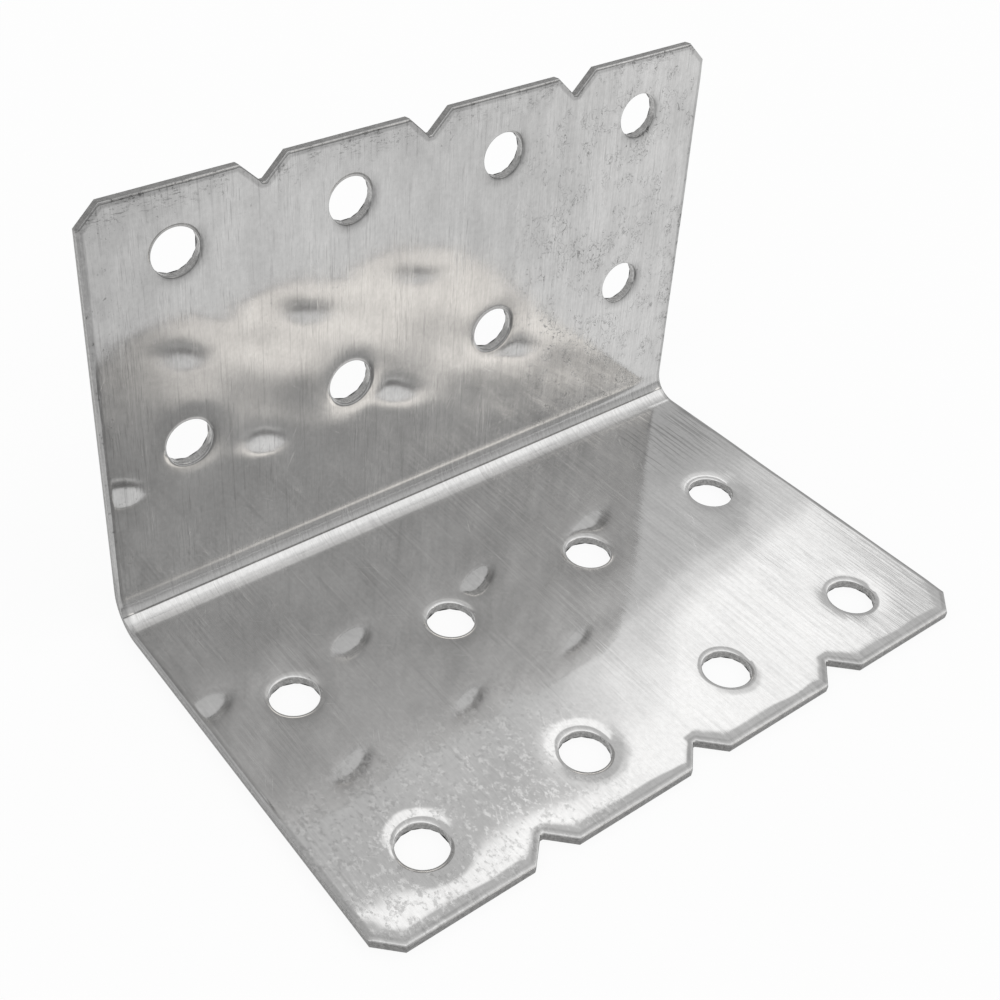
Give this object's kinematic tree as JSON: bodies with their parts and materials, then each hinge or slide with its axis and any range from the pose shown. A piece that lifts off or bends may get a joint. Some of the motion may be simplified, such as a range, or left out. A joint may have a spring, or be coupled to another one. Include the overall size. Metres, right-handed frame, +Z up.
{
  "type": "corner brace bracket",
  "caption": "Folded steel corner brace: two punched legs at a right angle, with rows of screw holes and V notches along both free edges.",
  "frame": {"origin": "centre of the bounding box's underside, on the surface that the base leg lies on", "axes": "+Z up along the upright leg, X along the fold, base leg pointing to -Y with the upright's back facing +Y"},
  "size_m": [0.0794, 0.0518, 0.0512],
  "materials": {
    "steel": "bare zinc-coated sheet, semi-gloss, with fine drawing lines across the fold, small pits and punching marks"
  },
  "bodies": {
    "root": {"bracket": "steel"}
  },
  "joints": []
}
